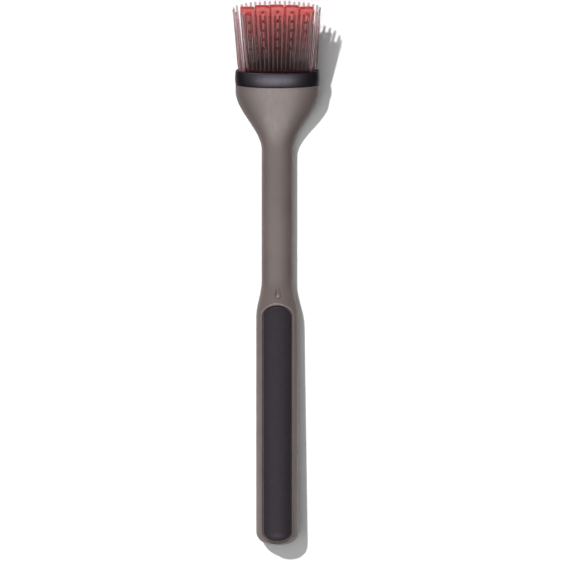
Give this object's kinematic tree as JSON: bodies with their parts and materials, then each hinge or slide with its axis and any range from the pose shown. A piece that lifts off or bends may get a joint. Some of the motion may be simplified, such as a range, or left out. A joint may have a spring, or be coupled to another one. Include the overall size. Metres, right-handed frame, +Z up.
{
  "type": "silicone pastry brush",
  "caption": "Long-handled silicone pastry and basting brush with a raised, wide head of fine bristles around perforated flaps, and a soft grip.",
  "frame": {"origin": "on the resting plane, at the centre of the brush's outline", "axes": "+Y along the handle towards the bristle tips, +X across the brush, +Z up out of the front of the grip"},
  "size_m": [0.067, 0.4198, 0.0463],
  "materials": {
    "handle_nylon": "satin taupe nylon",
    "soft_grip": "matte black soft-touch elastomer",
    "collar_nylon": "satin black nylon",
    "core_nylon": "matte black glass-filled nylon",
    "clear_silicone": "translucent smoky silicone",
    "red_silicone": "satin red silicone"
  },
  "bodies": {
    "handle": {"front_shell": "handle_nylon", "back_shell": "handle_nylon", "front_grip": "soft_grip", "back_grip": "soft_grip", "core_bar": "core_nylon", "head_socket": "core_nylon"},
    "head": {"collar": "collar_nylon", "head_plug": "core_nylon", "bristle_pad": "clear_silicone", "flap_pad": "red_silicone"},
    "bristles": {"front_bristles": "clear_silicone", "back_bristles": "clear_silicone", "left_bristles": "clear_silicone", "right_bristles": "clear_silicone", "front_flap_1": "red_silicone", "front_flap_2": "red_silicone", "front_flap_3": "red_silicone", "front_flap_4": "red_silicone", "front_flap_5": "red_silicone", "back_flap_1": "red_silicone", "back_flap_2": "red_silicone", "back_flap_3": "red_silicone", "back_flap_4": "red_silicone", "back_flap_5": "red_silicone"}
  },
  "joints": [
    {"name": "head_release", "type": "slide", "parent": "handle", "child": "head", "axis": [0, 0.9511, 0.309], "range_m": [0, 0.04]},
    {"name": "bristle_flex", "type": "hinge", "parent": "head", "child": "bristles", "pos_m": [0, 0.15513, 0.01935], "axis": [1, 0, 0], "range_deg": [-25, 25], "stiffness_Nm_per_rad": 0.6, "deforming": ["front_bristles", "back_bristles", "left_bristles", "right_bristles", "front_flap_1", "front_flap_2", "front_flap_3", "front_flap_4", "front_flap_5", "back_flap_1", "back_flap_2", "back_flap_3", "back_flap_4", "back_flap_5"]}
  ]
}
